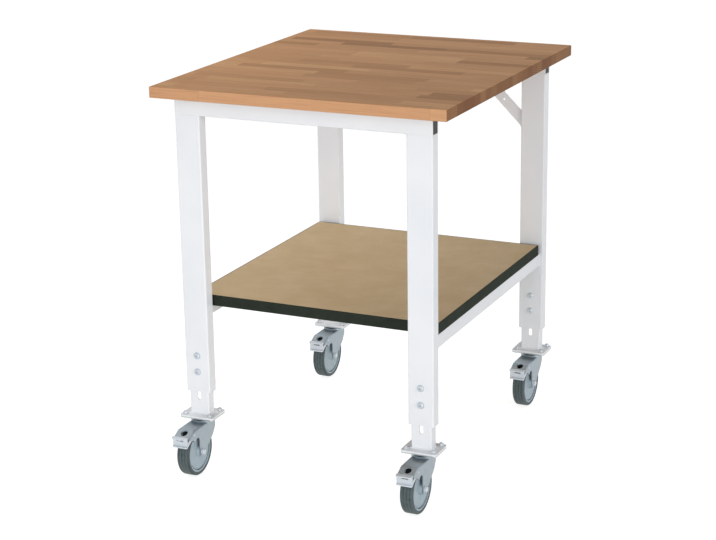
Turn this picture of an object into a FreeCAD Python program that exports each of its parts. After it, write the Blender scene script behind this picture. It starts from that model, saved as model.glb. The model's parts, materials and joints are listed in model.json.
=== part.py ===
import FreeCAD, Part
import os
import re
import Sketcher

# Mobile workbench: a beech worktop on two welded leg frames with a shelf between them, telescopic
# feet and braked swivel casters. X runs along the front edge, Y to the rear and Z up. The origin is
# on the floor under the middle of the worktop. All lengths are millimetres.

SIZES = {
    # worktop
    "top_width": 700.0,
    "top_depth": 800.0,
    "top_thickness": 25.0,
    "bench_height": 900.0,
    "edge_ease": 1.5,
    "overhang_side": 44.0,
    "overhang_front": 32.0,
    # leg frames, welded from rectangular tube
    "leg_width": 60.0,
    "leg_depth": 30.0,
    "tube_wall": 2.0,
    "tube_corner": 3.0,
    "crossbar_height": 40.0,
    "plug_length": 14.0,
    "plug_wall": 2.5,
    "plug_recess": 1.0,
    "plug_clearance": 0.15,
    # strip braces of the rear leg frame
    "brace_strip": 27.0,
    "brace_sheet": 3.0,
    "brace_drop": 94.0,
    "brace_tab": 20.0,
    "brace_setback": 6.0,
    "brace_hole": 6.0,
    "brace_hole_pitch": 30.0,
    # shelf and the rails that carry it
    "shelf_height": 413.0,
    "shelf_thickness": 25.0,
    "shelf_inset": 7.0,
    "shelf_gap": 12.0,
    "edging": 2.0,
    "rail_height": 32.0,
    "rail_width": 25.0,
    "rail_inset": 8.0,
    # screws from inside the tubes up into the boards
    "screw_diameter": 5.0,
    "screw_head": 11.0,
    "screw_head_height": 3.5,
    "screw_grip": 15.0,
    "screw_clearance": 0.2,
    "access_hole": 14.0,
    "bar_screw_spacing": 400.0,
    "rail_screw_spacing": 480.0,
    # telescopic foot: slotted channel in the leg, clamped by two bolts and a nut bar
    "channel_width": 48.0,
    "channel_depth": 24.0,
    "channel_sheet": 3.0,
    "channel_length": 225.0,
    "channel_bend": 3.0,
    "slide_gap": 0.3,
    "foot_reveal": 55.0,
    "slot_width": 9.0,
    "slot_start": 35.0,
    "slot_margin": 15.0,
    "clamp_bolt": 8.0,
    "clamp_head": 14.0,
    "clamp_head_height": 4.5,
    "clamp_height": 48.0,
    "clamp_pitch": 39.0,
    "clamp_bar_width": 30.0,
    "clamp_bar_sheet": 6.0,
    "clamp_bar_margin": 11.0,
    "bolt_clearance": 0.3,
    # foot plate and caster plate, bolted together at the corners
    "plate_width": 84.0,
    "plate_depth": 66.0,
    "plate_corner": 6.0,
    "foot_plate_sheet": 4.0,
    "caster_plate_sheet": 3.0,
    "plate_hole_width": 64.0,
    "plate_hole_depth": 46.0,
    "caster_bolt": 6.0,
    "caster_head": 11.0,
    "caster_head_height": 3.0,
    "caster_nut": 10.0,
    "caster_nut_height": 5.0,
    "thread_end": 2.5,
    # swivel head
    "race_diameter": 48.0,
    "race_height": 5.0,
    "king_pin": 12.0,
    "king_head": 20.0,
    "king_head_height": 4.0,
    "swivel_gap": 0.3,
    "running_fit": 0.05,
    # pressed fork with fender
    "trail": 44.0,
    "fork_inner": 38.0,
    "fork_sheet": 2.5,
    "fender_gap": 2.5,
    "fender_lead": 1.0,
    "fender_slope": 24.0,
    "fender_drop": 12.0,
    "fender_bend": 14.0,
    "fender_hole": 16.0,
    "fender_hole_back": 15.0,
    "skirt_back": 18.0,
    "skirt_drop": 9.0,
    "fork_round": 4.0,
    "arm_back": 18.0,
    "cup_diameter": 54.0,
    "cup_height": 3.7,
    "skirt_overlap": 10.0,
    "arm_boss": 22.0,
    "arm_shoulder": 19.0,
    "knee_back": 7.0,
    "knee_height": 26.0,
    "arm_bend": 12.0,
    "arm_fillet": 10.0,
    # wheel
    "wheel_diameter": 114.0,
    "tyre_width": 30.0,
    "tyre_thickness": 8.0,
    "tyre_round": 4.0,
    "rim_width": 28.0,
    "rim_thickness": 4.0,
    "disc_width": 24.0,
    "hub_diameter": 28.0,
    "hub_taper": 2.0,
    "hub_gap": 0.4,
    "groove_width": 3.0,
    "groove_depth": 4.0,
    "sleeve_diameter": 12.0,
    "axle_diameter": 8.0,
    "axle_head": 15.0,
    "axle_head_height": 5.5,
    "axle_nut": 13.0,
    "axle_nut_height": 6.5,
    # brake pedal
    "pedal_sheet": 3.0,
    "pedal_width": 37.0,
    "pedal_gap": 2.5,
    "pedal_step": 6.0,
    "pedal_fall": 2.0,
    "pedal_lip": 4.0,
    "pedal_tongue": 25.0,
    "pedal_slot_width": 18.0,
    "pedal_slot_height": 3.0,
    "pedal_slot_drop": 8.5,
    "pedal_top_drop": 7.0,
    "pedal_round": 3.0,
    "pedal_pin": 6.0,
    "pedal_pin_back": 24.0,
    "pedal_pin_drop": 10.0,
    "ear_sheet": 2.0,
    "ear_gap": 0.6,
    "ear_margin": 4.5,
    "ear_drop": 9.0,
    "ear_rise": 2.0,
}

CORNERS = {
    "front_left": (-1, -1),
    "front_right": (1, -1),
    "rear_left": (-1, 1),
    "rear_right": (1, 1),
}
SIDES = {"left": -1, "right": 1}
ROUND_TOLERANCE = 1e-4

# places worked out from the sizes, as expressions that the sheet can read
TOP_UNDERSIDE = "(bench_height - top_thickness)"
BAR_UNDERSIDE = f"({TOP_UNDERSIDE} - crossbar_height)"
FRAME_HALF_WIDTH = "(top_width / 2 - overhang_side)"
FRAME_HALF_DEPTH = "(top_depth / 2 - overhang_front)"
LEG_X = f"({FRAME_HALF_WIDTH} - leg_width / 2)"
LEG_Y = f"({FRAME_HALF_DEPTH} - leg_depth / 2)"
SHELF_UNDERSIDE = "(shelf_height - shelf_thickness)"
SHELF_WIDTH = f"(2 * ({FRAME_HALF_WIDTH} - shelf_inset))"
SHELF_DEPTH = f"(2 * ({FRAME_HALF_DEPTH} - leg_depth - shelf_gap))"
RAIL_X = f"({FRAME_HALF_WIDTH} - rail_inset - rail_width / 2)"
RAIL_LENGTH = f"(2 * ({FRAME_HALF_DEPTH} - leg_depth))"
WHEEL_RADIUS = "(wheel_diameter / 2)"
CROWN_TOP = "(wheel_diameter + fender_gap + fork_sheet)"
CUP_TOP = f"({CROWN_TOP} + cup_height)"
RACE_BOTTOM = f"({CUP_TOP} + swivel_gap)"
CASTER_PLATE_BOTTOM = f"({RACE_BOTTOM} + race_height)"
FOOT_PLATE_BOTTOM = f"({CASTER_PLATE_BOTTOM} + caster_plate_sheet)"
FOOT_TOP = f"({FOOT_PLATE_BOTTOM} + foot_plate_sheet)"
LEG_BOTTOM = f"({FOOT_TOP} + foot_reveal)"
CHANNEL_FRONT = "(-leg_depth / 2 + tube_wall + slide_gap)"
CLAMP_BAR_FRONT = f"({CHANNEL_FRONT} + channel_sheet + slide_gap)"
FORK_WIDTH = "(fork_inner + 2 * fork_sheet)"
FENDER_REACH = f"(trail + {WHEEL_RADIUS} + fender_lead)"
LIP_Z = f"({CROWN_TOP} - fender_drop)"
PIN_Y = f"(pedal_pin_back - {FENDER_REACH})"
PIN_Z = f"({CROWN_TOP} - pedal_pin_drop)"
PEDAL_BACK = f"(-{FENDER_REACH} - pedal_gap)"
PEDAL_FRONT = f"({PEDAL_BACK} - pedal_sheet)"
PEDAL_TOP = f"({CROWN_TOP} - pedal_top_drop)"

doc = FreeCAD.newDocument("MobileWorkbench")
sheet = doc.addObject("Spreadsheet::Sheet", "Sizes")
for row, (alias, value) in enumerate(SIZES.items(), start=1):
    sheet.set(f"A{row}", alias)
    sheet.set(f"B{row}", str(value))
    sheet.setAlias(f"B{row}", alias)
doc.recompute()

nodes = []


def bound(expression):
    """The expression with every size name pointed at the sheet."""
    def point(word):
        return f"Sizes.{word.group()}" if word.group() in SIZES else word.group()
    return re.sub(r"[a-z]\w*", point, expression)


def number(expression):
    """The expression's present value."""
    return float(sheet.evalExpression(expression))


def bind(item, name, expression):
    """Ties one property of an object to the sheet."""
    item.setExpression(name, bound(expression))


def place(item, x="0", y="0", z="0"):
    """Ties an object's position to the sheet."""
    for axis, expression in zip("xyz", (x, y, z)):
        bind(item, f"Placement.Base.{axis}", expression)
    return item


def signed(sign, expression):
    """The expression on the positive or negative side of the middle."""
    return expression if sign > 0 else f"-{expression}"


def keep(item, label):
    """Marks an object as a finished sub-part."""
    item.Label = label
    nodes.append(item)
    return item


def new_body(name):
    """An empty body of the document."""
    return doc.addObject("PartDesign::Body", name)


def sketch_on(body, role, offset=None):
    """A sketch on one of the body's own origin planes, raised by an offset along its normal."""
    sketch = body.newObject("Sketcher::SketchObject", f"{body.Name}_sketch")
    support = next(item for item in body.Origin.OriginFeatures if item.Role == role)
    sketch.AttachmentSupport = [(support, "")]
    sketch.MapMode = "FlatFace"
    if offset:
        bind(sketch, "AttachmentOffset.Base.z", offset)
    return sketch


def fix_point(sketch, geometry, point, x, y):
    """Dimensions one point of a sketch from the sketch origin."""
    for kind, expression in (("DistanceX", x), ("DistanceY", y)):
        constraint = Sketcher.Constraint(kind, -1, 1, geometry, point, number(expression))
        index = sketch.addConstraint(constraint)
        bind(sketch, f"Constraints[{index}]", expression)


def add_polygon(sketch, points):
    """A closed outline of straight lines through dimensioned corners."""
    corners = [FreeCAD.Vector(number(x), number(y), 0) for x, y in points]
    lines = []
    for start, end in zip(corners, corners[1:] + corners[:1]):
        lines.append(sketch.addGeometry(Part.LineSegment(start, end), False))
    for line, following in zip(lines, lines[1:] + lines[:1]):
        sketch.addConstraint(Sketcher.Constraint("Coincident", line, 2, following, 1))
    for line, (x, y) in zip(lines, points):
        fix_point(sketch, line, 1, x, y)
    return sketch


def add_rectangle(sketch, width, height, x="0", y="0"):
    """A rectangle about a centre."""
    left, right = f"{x} - {width} / 2", f"{x} + {width} / 2"
    low, high = f"{y} - {height} / 2", f"{y} + {height} / 2"
    return add_polygon(sketch, [(left, low), (right, low), (right, high), (left, high)])


def add_circles(sketch, diameter, centres):
    """Circles of one diameter at dimensioned centres."""
    for x, y in centres:
        middle = FreeCAD.Vector(number(x), number(y), 0)
        circle = Part.Circle(middle, FreeCAD.Vector(0, 0, 1), number(diameter) / 2)
        index = sketch.addGeometry(circle, False)
        constraint = sketch.addConstraint(Sketcher.Constraint("Diameter", index, number(diameter)))
        bind(sketch, f"Constraints[{constraint}]", diameter)
        fix_point(sketch, index, 3, x, y)
    return sketch


def pad(body, sketch, length, symmetric=False, reverse=False):
    """Draws a sketch out into solid material."""
    feature = body.newObject("PartDesign::Pad", f"{body.Name}_pad")
    feature.Profile = sketch
    bind(feature, "Length", length)
    feature.SideType = "Symmetric" if symmetric else "One side"
    feature.Reversed = reverse
    doc.recompute()
    return feature


def pocket(body, sketch, length=None, symmetric=False, reverse=False):
    """Cuts a sketch out of the body, right through it where no length is given."""
    before = body.Shape.Volume
    feature = body.newObject("PartDesign::Pocket", f"{body.Name}_pocket")
    feature.Profile = sketch
    if length:
        bind(feature, "Length", length)
    else:
        feature.Type = "ThroughAll"
    feature.SideType = "Symmetric" if symmetric else "One side"
    feature.Reversed = reverse
    doc.recompute()
    if body.Shape.Volume >= before:
        raise ValueError(f"{feature.Name} removes nothing")
    return feature


def revolve(body, sketch, axis):
    """Turns a sketch once round one of its own axes."""
    feature = body.newObject("PartDesign::Revolution", f"{body.Name}_turned")
    feature.Profile = sketch
    feature.ReferenceAxis = (sketch, [axis])
    feature.Angle = 360
    doc.recompute()
    return feature


def round_edges(body, radius, wanted):
    """Rounds the edges of the body's last feature that a test picks."""
    base = body.Tip
    names = [f"Edge{index}" for index, edge in enumerate(base.Shape.Edges, start=1) if wanted(edge)]
    feature = body.newObject("PartDesign::Fillet", f"{body.Name}_round")
    feature.Base = (base, names)
    bind(feature, "Radius", radius)
    doc.recompute()
    return feature


def runs_along(edge, axis):
    """True for an edge that is straight and parallel to the named axis."""
    lengths = dict(zip("xyz", (edge.BoundBox.XLength, edge.BoundBox.YLength, edge.BoundBox.ZLength)))
    across = [size for name, size in lengths.items() if name != axis]
    return max(across) < ROUND_TOLERANCE < lengths[axis]


def make_tube(name, role, axis, width, height, length, symmetric):
    """A rounded rectangular tube with open ends, drawn on one plane and drawn out along an axis."""
    body = new_body(name)
    pad(body, add_rectangle(sketch_on(body, role), width, height), length, symmetric)
    round_edges(body, "tube_corner", lambda edge: runs_along(edge, axis))
    inner = add_rectangle(sketch_on(body, role), f"({width} - 2 * tube_wall)", f"({height} - 2 * tube_wall)")
    pocket(body, inner, None, symmetric, not symmetric)
    return body


def make_pin(name, diameter, length, head, head_height):
    """A headed pin along Z: its shank starts at zero and its head lies below."""
    shank = doc.addObject("Part::Cylinder", f"{name}_shank")
    bind(shank, "Radius", f"{diameter} / 2")
    bind(shank, "Height", f"{length} + {head_height}")
    place(shank, z=f"-{head_height}")
    cap = doc.addObject("Part::Cylinder", f"{name}_head")
    bind(cap, "Radius", f"{head} / 2")
    bind(cap, "Height", head_height)
    place(cap, z=f"-{head_height}")
    pin = doc.addObject("Part::Fuse", name)
    pin.Base = shank
    pin.Tool = cap
    return pin


def make_nut(name, width, height, bore):
    """A hexagon nut along Z, its lower face at zero."""
    blank = doc.addObject("Part::Prism", f"{name}_blank")
    blank.Polygon = 6
    bind(blank, "Circumradius", f"{width} / sqrt(3)")
    bind(blank, "Height", height)
    hole = doc.addObject("Part::Cylinder", f"{name}_hole")
    bind(hole, "Radius", f"{bore} / 2")
    bind(hole, "Height", height)
    nut = doc.addObject("Part::Cut", name)
    nut.Base = blank
    nut.Tool = hole
    return nut


def make_group(label, items):
    """Several separate solids kept as one sub-part."""
    group = doc.addObject("Part::Compound", label)
    group.Links = items
    return keep(group, label)


def spread(spacing):
    """Two places half a spacing to either side of the middle."""
    return [signed(side, f"({spacing}) / 2") for side in SIDES.values()]


def build_worktop():
    """A glued board with eased edges and blind holes for the screws from below."""
    body = new_body("worktop")
    pad(body, add_rectangle(sketch_on(body, "XY_Plane"), "top_width", "top_depth"), "top_thickness")
    round_edges(body, "edge_ease", lambda edge: True)
    pilots = sketch_on(body, "XY_Plane")
    add_circles(pilots, "(screw_diameter + screw_clearance)", bar_screw_places())
    pocket(body, pilots, "(screw_grip + screw_clearance)", reverse=True)
    place(body, z=TOP_UNDERSIDE)
    keep(body, "worktop")


def bar_screw_places():
    """Where the worktop screws stand, seen from above."""
    rows = [signed(side, LEG_Y) for side in SIDES.values()]
    return [(x, y) for y in rows for x in spread("bar_screw_spacing")]


def rail_screw_places():
    """Where the shelf screws stand, seen from above."""
    rows = [signed(side, RAIL_X) for side in SIDES.values()]
    return [(x, y) for x in rows for y in spread("rail_screw_spacing") + ["0"]]


def drill_tube(body, places, height):
    """Screw holes through a tube's upper wall and wider access holes through its lower wall."""
    upper = add_circles(sketch_on(body, "XY_Plane"), "(screw_diameter + screw_clearance)", places)
    pocket(body, upper, f"({height}) / 2", reverse=True)
    lower = add_circles(sketch_on(body, "XY_Plane"), "access_hole", places)
    pocket(body, lower, f"({height}) / 2")


def build_crossbars():
    """The upper tube of each leg frame with its end plugs."""
    plugs = []
    for end, sign in (("front", -1), ("rear", 1)):
        body = make_tube(f"{end}_crossbar", "YZ_Plane", "x", "leg_depth", "crossbar_height",
                         f"(2 * {FRAME_HALF_WIDTH})", True)
        drill_tube(body, [(x, "0") for x in spread("bar_screw_spacing")], "crossbar_height")
        place(body, y=signed(sign, LEG_Y), z=f"{BAR_UNDERSIDE} + crossbar_height / 2")
        keep(body, f"{end}_crossbar")
        for side, hand in SIDES.items():
            plugs.append(build_plug(f"plug_{end}_{side}", hand, sign))
    make_group("crossbar_plugs", plugs)


def build_plug(name, hand, sign):
    """A cup-shaped plug, closed to the outside, set a little into the tube end."""
    body = new_body(name)
    width = "(leg_depth - 2 * tube_wall - 2 * plug_clearance)"
    height = "(crossbar_height - 2 * tube_wall - 2 * plug_clearance)"
    pad(body, add_rectangle(sketch_on(body, "YZ_Plane"), width, height), "plug_length", reverse=hand > 0)
    inner = sketch_on(body, "YZ_Plane", signed(-hand, "plug_wall"))
    add_rectangle(inner, f"({width} - 2 * plug_wall)", f"({height} - 2 * plug_wall)")
    pocket(body, inner, "plug_length", reverse=hand < 0)
    place(body, signed(hand, f"({FRAME_HALF_WIDTH} - plug_recess)"), signed(sign, LEG_Y),
          f"{BAR_UNDERSIDE} + crossbar_height / 2")
    return body


def build_legs():
    """Four tubes open below, each drilled through its front wall for two clamp bolts."""
    for corner, (side, end) in CORNERS.items():
        body = make_tube(f"leg_{corner}", "XY_Plane", "z", "leg_width", "leg_depth",
                         f"({BAR_UNDERSIDE} - {LEG_BOTTOM})", False)
        holes = sketch_on(body, "XZ_Plane")
        add_circles(holes, "(clamp_bolt + bolt_clearance)", clamp_places("clamp_height"))
        pocket(body, holes, reverse=True)
        place(body, signed(side, LEG_X), signed(end, LEG_Y), LEG_BOTTOM)
        keep(body, f"leg_{corner}")


def clamp_places(lowest):
    """The two clamp bolts of one leg, on its front face."""
    return [("0", lowest), ("0", f"{lowest} + clamp_pitch")]


def build_braces():
    """Strip braces at 45 degrees with a tab on the leg and a tab under the crossbar."""
    cut = "(brace_strip * sqrt(2))"
    middle = f"((brace_drop + {cut} / 2) / 2)"
    step = "(brace_hole_pitch / 2 / sqrt(2))"
    for side, hand in SIDES.items():
        body = new_body(f"brace_{side}")
        strip = [("0", "-brace_drop"), (signed(-hand, "brace_drop"), "0"),
                 (signed(-hand, f"(brace_drop + {cut})"), "0"), ("0", f"-brace_drop - {cut}")]
        pad(body, add_polygon(sketch_on(body, "XZ_Plane"), strip), "brace_sheet", reverse=True)
        leg_tab = add_rectangle(sketch_on(body, "XZ_Plane"), "brace_sheet", cut,
                                signed(-hand, "(brace_sheet / 2)"), f"-brace_drop - {cut} / 2")
        pad(body, leg_tab, "brace_tab", reverse=True)
        bar_tab = add_rectangle(sketch_on(body, "XZ_Plane"), cut, "brace_sheet",
                                signed(-hand, f"(brace_drop + {cut} / 2)"), "-brace_sheet / 2")
        pad(body, bar_tab, "brace_tab", reverse=True)
        holes = [(signed(-hand, f"({middle} + {way} * {step})"), f"-{middle} + {way} * {step}")
                 for way in (-1, 1)]
        pocket(body, add_circles(sketch_on(body, "XZ_Plane"), "brace_hole", holes), symmetric=True)
        place(body, signed(hand, f"({LEG_X} - leg_width / 2)"),
              f"{FRAME_HALF_DEPTH} - leg_depth + brace_setback", BAR_UNDERSIDE)
        keep(body, f"brace_{side}")


def build_shelf():
    """The shelf board in its edge band, on two rails between the legs."""
    for side, hand in SIDES.items():
        rail = make_tube(f"rail_{side}", "XZ_Plane", "y", "rail_width", "rail_height", RAIL_LENGTH, True)
        drill_tube(rail, [("0", y) for y in spread("rail_screw_spacing") + ["0"]], "rail_height")
        place(rail, signed(hand, RAIL_X), "0", f"{SHELF_UNDERSIDE} - rail_height / 2")
        keep(rail, f"rail_{side}")
    core = (f"({SHELF_WIDTH} - 2 * edging)", f"({SHELF_DEPTH} - 2 * edging)")
    board = new_body("shelf_board")
    pad(board, add_rectangle(sketch_on(board, "XY_Plane"), *core), "shelf_thickness")
    pilots = sketch_on(board, "XY_Plane")
    add_circles(pilots, "(screw_diameter + screw_clearance)", rail_screw_places())
    pocket(board, pilots, "(screw_grip + screw_clearance)", reverse=True)
    place(board, z=SHELF_UNDERSIDE)
    keep(board, "shelf_board")
    band = new_body("shelf_edging")
    pad(band, add_rectangle(sketch_on(band, "XY_Plane"), SHELF_WIDTH, SHELF_DEPTH), "shelf_thickness")
    pocket(band, add_rectangle(sketch_on(band, "XY_Plane"), *core), reverse=True)
    place(band, z=SHELF_UNDERSIDE)
    keep(band, "shelf_edging")


def build_screws():
    """Pan-head screws whose heads bear under the upper tube walls."""
    for label, places, seat in (("worktop_screws", bar_screw_places(), TOP_UNDERSIDE),
                                ("shelf_screws", rail_screw_places(), SHELF_UNDERSIDE)):
        screws = []
        for index, (x, y) in enumerate(places):
            screw = make_pin(f"{label}_{index}", "screw_diameter", "(screw_grip + tube_wall)", "screw_head",
                             "screw_head_height")
            screws.append(place(screw, x, y, f"{seat} - tube_wall"))
        make_group(label, screws)


def build_clamps():
    """Button-head bolts through each leg's front wall and the nut bars behind the foot channel."""
    bolts = []
    bars = []
    grip = "(tube_wall + 2 * slide_gap + channel_sheet + clamp_bar_sheet)"
    quarter_turn = FreeCAD.Rotation(FreeCAD.Vector(1, 0, 0), -90)
    for corner, (side, end) in CORNERS.items():
        leg = (signed(side, LEG_X), signed(end, LEG_Y))
        for index, (x, z) in enumerate(clamp_places(f"({LEG_BOTTOM} + clamp_height)")):
            name = f"clamp_bolt_{corner}_{index}"
            bolt = make_pin(name, "clamp_bolt", grip, "clamp_head", "clamp_head_height")
            bolt.Placement.Rotation = quarter_turn
            bolts.append(place(bolt, f"{leg[0]} + {x}", f"{leg[1]} - leg_depth / 2", z))
        bar = new_body(f"clamp_plate_{corner}")
        length = "(clamp_pitch + 2 * clamp_bar_margin)"
        face = add_rectangle(sketch_on(bar, "XZ_Plane"), "clamp_bar_width", length, "0", "clamp_pitch / 2")
        pad(bar, face, "clamp_bar_sheet", reverse=True)
        holes = add_circles(sketch_on(bar, "XZ_Plane"), "(clamp_bolt + screw_clearance)", clamp_places("0"))
        pocket(bar, holes, symmetric=True)
        bars.append(place(bar, leg[0], f"{leg[1]} + {CLAMP_BAR_FRONT}", f"{LEG_BOTTOM} + clamp_height"))
    make_group("clamp_bolts", bolts)
    make_group("clamp_plates", bars)


def build_foot_channel(name):
    """A U-section open to the rear with one long slot in its web."""
    body = new_body(name)
    half = "channel_width / 2"
    back = f"{CHANNEL_FRONT} + channel_depth"
    web = f"{CHANNEL_FRONT} + channel_sheet"
    outline = [(f"-{half}", CHANNEL_FRONT), (half, CHANNEL_FRONT), (half, back),
               (f"{half} - channel_sheet", back), (f"{half} - channel_sheet", web),
               (f"channel_sheet - {half}", web), (f"channel_sheet - {half}", back), (f"-{half}", back)]
    pad(body, add_polygon(sketch_on(body, "XY_Plane"), outline), "channel_length")
    front = number(CHANNEL_FRONT)
    round_edges(body, "channel_bend", lambda edge: runs_along(edge, "z")
                and abs(edge.BoundBox.YMin - front) < ROUND_TOLERANCE)
    low = "(slot_start + slot_width / 2)"
    high = "(channel_length - slot_margin - slot_width / 2)"
    slot = sketch_on(body, "XZ_Plane")
    add_rectangle(slot, "slot_width", f"({high} - {low})", "0", f"({high} + {low}) / 2")
    pocket(body, slot, reverse=True)
    ends = add_circles(sketch_on(body, "XZ_Plane"), "slot_width", [("0", low), ("0", high)])
    pocket(body, ends, reverse=True)
    return body


def build_plate(name, thickness):
    """A rounded plate with four bolt holes."""
    body = new_body(name)
    pad(body, add_rectangle(sketch_on(body, "XY_Plane"), "plate_width", "plate_depth"), thickness)
    round_edges(body, "plate_corner", lambda edge: runs_along(edge, "z"))
    holes = add_circles(sketch_on(body, "XY_Plane"), "(caster_bolt + bolt_clearance)", plate_hole_places())
    pocket(body, holes, reverse=True)
    return body


def plate_hole_places():
    """The four bolt places of one caster plate, about its middle."""
    columns = spread("plate_hole_width")
    return [(x, y) for x in columns for y in spread("plate_hole_depth")]


def build_caster_bolts(label, x0, y0):
    """Low-head bolts from below with hexagon nuts on the foot plate."""
    parts = []
    grip = "(caster_plate_sheet + foot_plate_sheet + caster_nut_height + thread_end)"
    bore = "(caster_bolt + screw_clearance)"
    for index, (x, y) in enumerate(plate_hole_places()):
        bolt = make_pin(f"{label}_bolt_{index}", "caster_bolt", grip, "caster_head", "caster_head_height")
        parts.append(place(bolt, f"{x0} + {x}", f"{y0} + {y}", CASTER_PLATE_BOTTOM))
        nut = make_nut(f"{label}_nut_{index}", "caster_nut", "caster_nut_height", bore)
        parts.append(place(nut, f"{x0} + {x}", f"{y0} + {y}", FOOT_TOP))
    make_group(label, parts)


def build_swivel_race(name):
    """Upper ball race with the king pin that holds the fork, turned about the swivel axis."""
    body = new_body(name)
    head_top = f"({CROWN_TOP} - fork_sheet - swivel_gap)"
    outline = [("0", f"{head_top} - king_head_height"), ("king_head / 2", f"{head_top} - king_head_height"),
               ("king_head / 2", head_top), ("king_pin / 2", head_top), ("king_pin / 2", RACE_BOTTOM),
               ("race_diameter / 2", RACE_BOTTOM), ("race_diameter / 2", CASTER_PLATE_BOTTOM),
               ("0", CASTER_PLATE_BOTTOM)]
    revolve(body, add_polygon(sketch_on(body, "XZ_Plane"), outline), "V_Axis")
    return body


def build_fork(name):
    """A pressed fork: crown and fender over the wheel, two arms down to the axle, open below."""
    body = new_body(name)
    lip = f"(-{FENDER_REACH})"
    bend = f"({lip} + fender_slope)"
    shoulder = f"({CROWN_TOP} - arm_shoulder)"
    arm_top = f"({CROWN_TOP} - 2 * fork_round)"
    arm_front = "(-trail - arm_boss / 2)"
    boss_diagonal = "(arm_boss / 2 / sqrt(2))"
    boss_heel = (f"{boss_diagonal} - trail", f"{WHEEL_RADIUS} - {boss_diagonal}")
    knee = ("knee_back", f"{WHEEL_RADIUS} + knee_height")
    shell = [("arm_back", CROWN_TOP), (bend, CROWN_TOP), (lip, LIP_Z), (lip, f"{LIP_Z} - fork_sheet"),
             (f"{lip} + skirt_back", f"{LIP_Z} - skirt_drop"), ("-trail", WHEEL_RADIUS), boss_heel, knee,
             ("arm_back", shoulder)]
    pad(body, add_polygon(sketch_on(body, "YZ_Plane"), shell), FORK_WIDTH, True)
    round_bends(body, "fender_bend", bend, CROWN_TOP)
    lip_z = number(LIP_Z)
    round_edges(body, "fork_round", lambda edge: edge.BoundBox.XLength < ROUND_TOLERANCE
                and edge.BoundBox.ZMin > lip_z - ROUND_TOLERANCE)
    arch_diameter = "(wheel_diameter - 2 * skirt_overlap)"
    pocket(body, axle_circle(body, arch_diameter), symmetric=True)
    arm = [("arm_back", arm_top), ("arm_back", shoulder), knee, boss_heel, (arm_front, WHEEL_RADIUS),
           (arm_front, arm_top)]
    pad(body, add_polygon(sketch_on(body, "YZ_Plane"), arm), FORK_WIDTH, True)
    pad(body, axle_circle(body, "arm_boss"), FORK_WIDTH, True)
    arch_height = f"(sqrt({arch_diameter}^2 - arm_boss^2) / 2)"
    round_bends(body, "arm_fillet", arm_front, f"{WHEEL_RADIUS} + {arch_height}")
    round_bends(body, "arm_bend", "arm_back", shoulder)
    round_bends(body, "arm_bend", *knee)
    slope = "(fender_drop / fender_slope)"
    skin = f"(fork_sheet * sqrt(1 + {slope}^2))"
    ahead, behind = f"({lip} - skirt_back)", "(arm_back + skirt_back)"
    ceiling = f"({CROWN_TOP} - fork_sheet)"
    cavity = [(behind, ceiling), (f"{bend} + ({skin} - fork_sheet) / {slope}", ceiling),
              (ahead, f"{LIP_Z} - {skin} - skirt_back * {slope}"), (ahead, "0"), (behind, "0")]
    pocket(body, add_polygon(sketch_on(body, "YZ_Plane"), cavity), "fork_inner", True)
    cup = add_circles(sketch_on(body, "XY_Plane", ceiling), "cup_diameter", [("0", "0")])
    pad(body, cup, "(fork_sheet + cup_height)")
    king_hole = add_circles(sketch_on(body, "XY_Plane"), "(king_pin + 2 * running_fit)", [("0", "0")])
    pocket(body, king_hole, reverse=True)
    window = sketch_on(body, "XY_Plane", WHEEL_RADIUS)
    add_circles(window, "fender_hole", [("0", f"{lip} + fender_hole_back")])
    pocket(body, window, reverse=True)
    pocket(body, axle_circle(body, "(axle_diameter + bolt_clearance)"), symmetric=True)
    pivot = add_circles(sketch_on(body, "YZ_Plane"), "(pedal_pin + 2 * running_fit)", [(PIN_Y, PIN_Z)])
    pocket(body, pivot, symmetric=True)
    return body


def axle_circle(body, diameter):
    """A circle about the wheel axle, seen from the side."""
    return add_circles(sketch_on(body, "YZ_Plane"), diameter, [("-trail", WHEEL_RADIUS)])


def round_bends(body, radius, y, z):
    """Rounds the bend line across the body at one place of its side view."""
    place_y, place_z = number(y), number(z)
    round_edges(body, radius, lambda edge: runs_along(edge, "x")
                and abs(edge.BoundBox.YMin - place_y) < ROUND_TOLERANCE
                and abs(edge.BoundBox.ZMin - place_z) < ROUND_TOLERANCE)


def build_axle(label, x0, y0):
    """Axle bolt and nut with the spacer sleeve that the hub turns on."""
    across = FreeCAD.Rotation(FreeCAD.Vector(0, 1, 0), -90)
    y, z = f"{y0} - trail", WHEEL_RADIUS
    shank = f"({FORK_WIDTH} + axle_nut_height + thread_end)"
    bolt = make_pin(f"{label}_bolt", "axle_diameter", shank, "axle_head", "axle_head_height")
    bolt.Placement.Rotation = across
    place(bolt, f"{x0} + {FORK_WIDTH} / 2", y, z)
    nut = make_nut(f"{label}_nut", "axle_nut", "axle_nut_height", "(axle_diameter + screw_clearance)")
    nut.Placement.Rotation = across
    place(nut, f"{x0} - {FORK_WIDTH} / 2", y, z)
    sleeve = new_body(f"{label}_sleeve")
    barrel = add_circles(sketch_on(sleeve, "YZ_Plane"), "sleeve_diameter", [("0", "0")])
    pad(sleeve, barrel, "fork_inner", True)
    bore = add_circles(sketch_on(sleeve, "YZ_Plane"), "(axle_diameter + screw_clearance)", [("0", "0")])
    pocket(sleeve, bore, symmetric=True)
    place(sleeve, x0, y, z)
    make_group(label, [bolt, nut, sleeve])


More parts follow.
